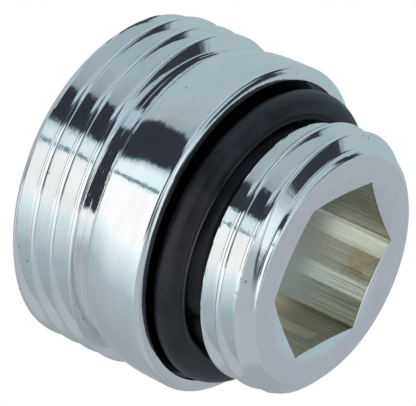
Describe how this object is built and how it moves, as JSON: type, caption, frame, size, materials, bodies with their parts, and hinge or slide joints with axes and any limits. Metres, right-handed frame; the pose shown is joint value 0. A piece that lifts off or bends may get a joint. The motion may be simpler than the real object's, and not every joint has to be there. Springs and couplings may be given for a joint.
{
  "type": "radiator connection adapter",
  "caption": "Short chromed nipple with a large pipe thread and cone seat at one end, a collar, and a small pipe thread with a hexagonal key socket and a rubber ring at the other.",
  "frame": {"origin": "centre of the flat face of the large threaded end", "axes": "+Z along the axis from the large end to the small end with the key socket; +X square to it, with the socket's corners 2.8 degrees round from +X; +Y completes a right-handed frame"},
  "size_m": [0.0264, 0.0264, 0.0209],
  "materials": {
    "chromed_brass": "bright chrome plate on turned brass",
    "black_rubber": "smooth matt black, faint sheen"
  },
  "bodies": {
    "root": {"adapter_body": "chromed_brass", "o_ring": "black_rubber"}
  },
  "joints": []
}
